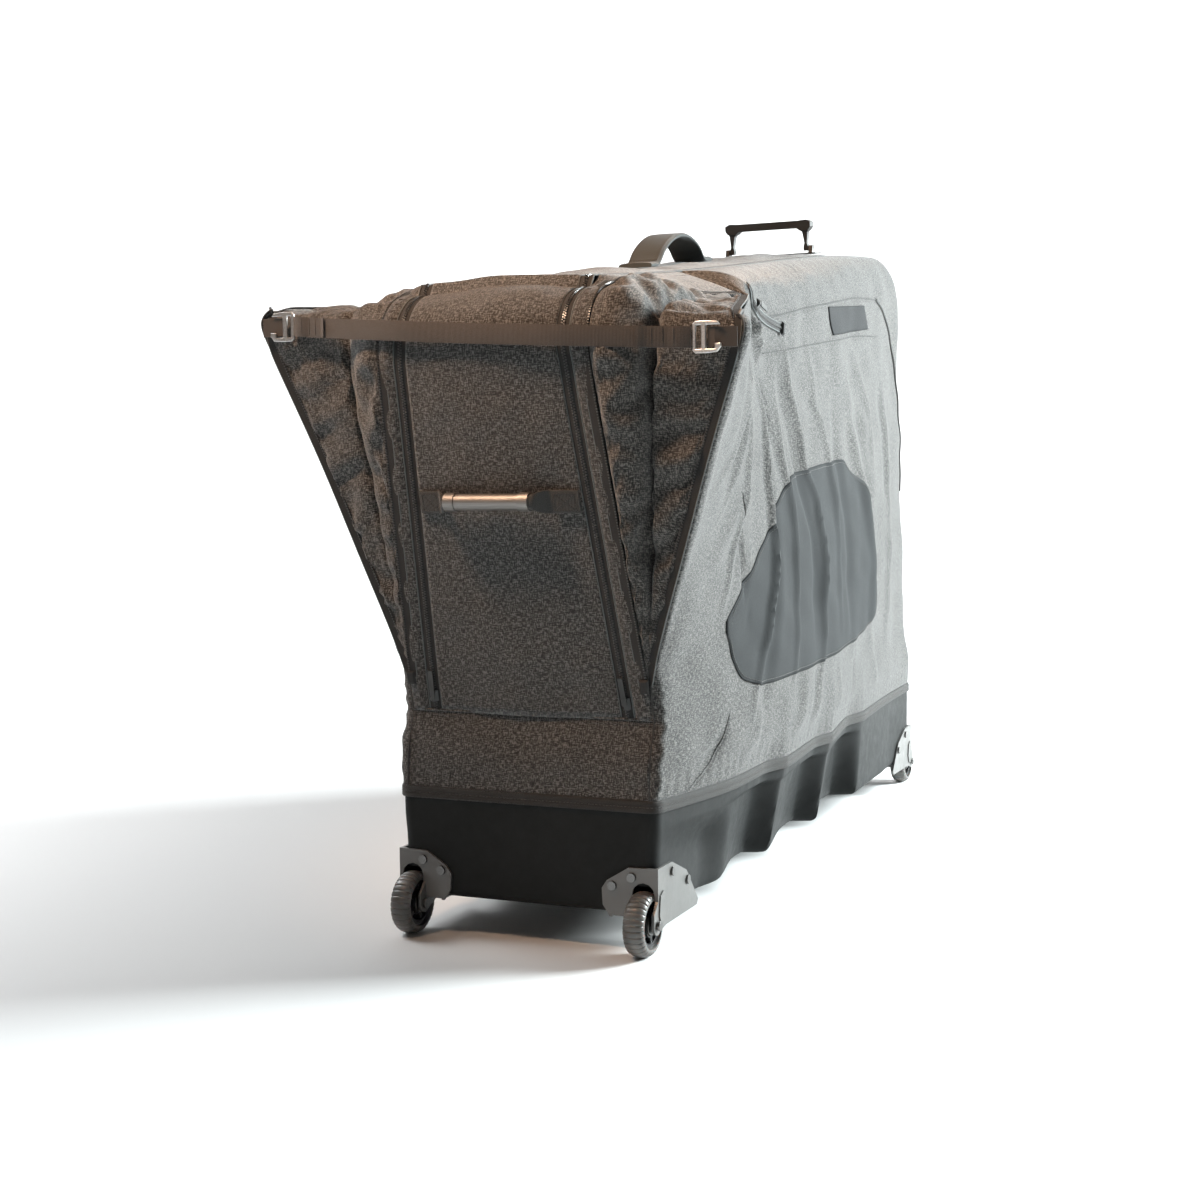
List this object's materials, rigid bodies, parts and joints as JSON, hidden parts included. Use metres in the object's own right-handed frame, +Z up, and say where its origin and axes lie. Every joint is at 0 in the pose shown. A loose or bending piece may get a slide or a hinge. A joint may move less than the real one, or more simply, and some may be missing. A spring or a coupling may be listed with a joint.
{
  "type": "bike travel case",
  "caption": "Wheeled bicycle travel case: hard tub with corner brackets under a tall padded fabric top whose sides unzip, with wide handlebar wings and carry handles.",
  "frame": {"origin": "on the floor under the middle of the case's overall box", "axes": "+Z up, +Y along the case from the handlebar end to the far end, +X to the right when looking along +Y"},
  "size_m": [0.5785, 1.2768, 0.8905],
  "materials": {
    "fabric": "heather grey woven polyester over foam",
    "tub": "matt black moulded plastic",
    "binding": "dark woven binding",
    "bracket": "satin grey",
    "steel": "plain zinc grey",
    "urethane": "smoky polyurethane",
    "core": "black nylon",
    "foam": "dark closed-cell foam",
    "zip": "black coil zip",
    "panel": "smooth darker grey coated cloth",
    "webbing": "dark brown webbing",
    "aluminium": "brushed",
    "chrome": "polished",
    "grip": "dark moulded rubber"
  },
  "bodies": {
    "base": {"tub": "tub", "rim_binding": "binding", "floor_pad": "foam", "corner_bracket_near_right": "bracket", "bolt_plate_near_right": "steel", "axle_bolt_near_right": "steel", "corner_bracket_near_left": "bracket", "bolt_plate_near_left": "steel", "axle_bolt_near_left": "steel", "corner_bracket_far_right": "bracket", "bolt_plate_far_right": "steel", "axle_bolt_far_right": "steel", "corner_bracket_far_left": "bracket", "bolt_plate_far_left": "steel", "axle_bolt_far_left": "steel", "near_lower_band": "fabric", "lower_skirt": "fabric", "near_panel": "fabric", "roof_panel": "fabric", "far_panel": "fabric", "main_zip_right": "zip", "main_zip_left": "zip", "end_handle_webbing": "webbing", "carry_handle": "webbing", "bar_handle_base": "grip"},
    "wheel_near_right": {"wheel_tyre_near_right": "urethane", "wheel_core_near_right": "core", "wheel_bearing_near_right": "steel"},
    "wheel_near_left": {"wheel_tyre_near_left": "urethane", "wheel_core_near_left": "core", "wheel_bearing_near_left": "steel"},
    "wheel_far_right": {"wheel_tyre_far_right": "urethane", "wheel_core_far_right": "core", "wheel_bearing_far_right": "steel"},
    "wheel_far_left": {"wheel_tyre_far_left": "urethane", "wheel_core_far_left": "core", "wheel_bearing_far_left": "steel"},
    "side_right": {"side_panel_right": "fabric", "edge_strip_right": "fabric", "gusset_right": "fabric", "logo_panel_right": "panel", "gusset_zip_inner_right": "zip", "gusset_zip_outer_right": "zip", "strap_tab_right": "webbing"},
    "main_slider_right_body": {"main_slider_right": "zip"},
    "gusset_slider_right_body": {"gusset_slider_right": "zip"},
    "side_left": {"side_panel_left": "fabric", "edge_strip_left": "fabric", "gusset_left": "fabric", "logo_panel_left": "panel", "gusset_zip_inner_left": "zip", "gusset_zip_outer_left": "zip", "strap_tab_left": "webbing"},
    "main_slider_left_body": {"main_slider_left": "zip"},
    "gusset_slider_left_body": {"gusset_slider_left": "zip"},
    "strap": {"end_strap": "webbing", "g_hook_right": "chrome", "g_hook_left": "chrome"},
    "end_handle_grip": {"end_handle_tube": "aluminium"},
    "bar_grip": {"bar_handle": "grip"}
  },
  "joints": [
    {"name": "wheel_spin_near_right", "type": "hinge", "parent": "base", "child": "wheel_near_right", "pos_m": [0.1395, -0.537, 0.035], "axis": [1, 0, 0], "continuous": true},
    {"name": "wheel_spin_near_left", "type": "hinge", "parent": "base", "child": "wheel_near_left", "pos_m": [-0.1395, -0.537, 0.035], "axis": [1, 0, 0], "continuous": true},
    {"name": "wheel_spin_far_right", "type": "hinge", "parent": "base", "child": "wheel_far_right", "pos_m": [0.1395, 0.603, 0.035], "axis": [1, 0, 0], "continuous": true},
    {"name": "wheel_spin_far_left", "type": "hinge", "parent": "base", "child": "wheel_far_left", "pos_m": [-0.1395, 0.603, 0.035], "axis": [1, 0, 0], "continuous": true},
    {"name": "side_fold_right", "type": "hinge", "parent": "base", "child": "side_right", "pos_m": [0.2, 0, 0.25], "axis": [0, 1, 0], "range_deg": [0, 90]},
    {"name": "main_zip_run_right", "type": "slide", "parent": "base", "child": "main_slider_right_body", "axis": [-0.0577, -0.2701, 0.9611], "range_m": [0, 0.33]},
    {"name": "gusset_zip_run_right", "type": "slide", "parent": "side_right", "child": "gusset_slider_right_body", "axis": [-0.112, 0.9872, -0.1137], "range_m": [0, 0.1]},
    {"name": "side_fold_left", "type": "hinge", "parent": "base", "child": "side_left", "pos_m": [-0.2, 0, 0.25], "axis": [0, -1, 0], "range_deg": [0, 90]},
    {"name": "main_zip_run_left", "type": "slide", "parent": "base", "child": "main_slider_left_body", "axis": [0.0577, -0.2701, 0.9611], "range_m": [0, 0.33]},
    {"name": "gusset_zip_run_left", "type": "slide", "parent": "side_left", "child": "gusset_slider_left_body", "axis": [0.112, 0.9872, -0.1137], "range_m": [0, 0.1]},
    {"name": "strap_swing", "type": "hinge", "parent": "side_left", "child": "strap", "pos_m": [-0.251, -0.603, 0.675], "axis": [0, 1, 0], "range_deg": [0, 90]},
    {"name": "end_handle_spin", "type": "hinge", "parent": "base", "child": "end_handle_grip", "pos_m": [-0.003, -0.60457, 0.484], "axis": [1, 0, 0], "continuous": true},
    {"name": "bar_handle_fold", "type": "hinge", "parent": "base", "child": "bar_grip", "pos_m": [0, 0.33905, 0.84726], "axis": [1, 0, 0], "range_deg": [0, 75]}
  ]
}
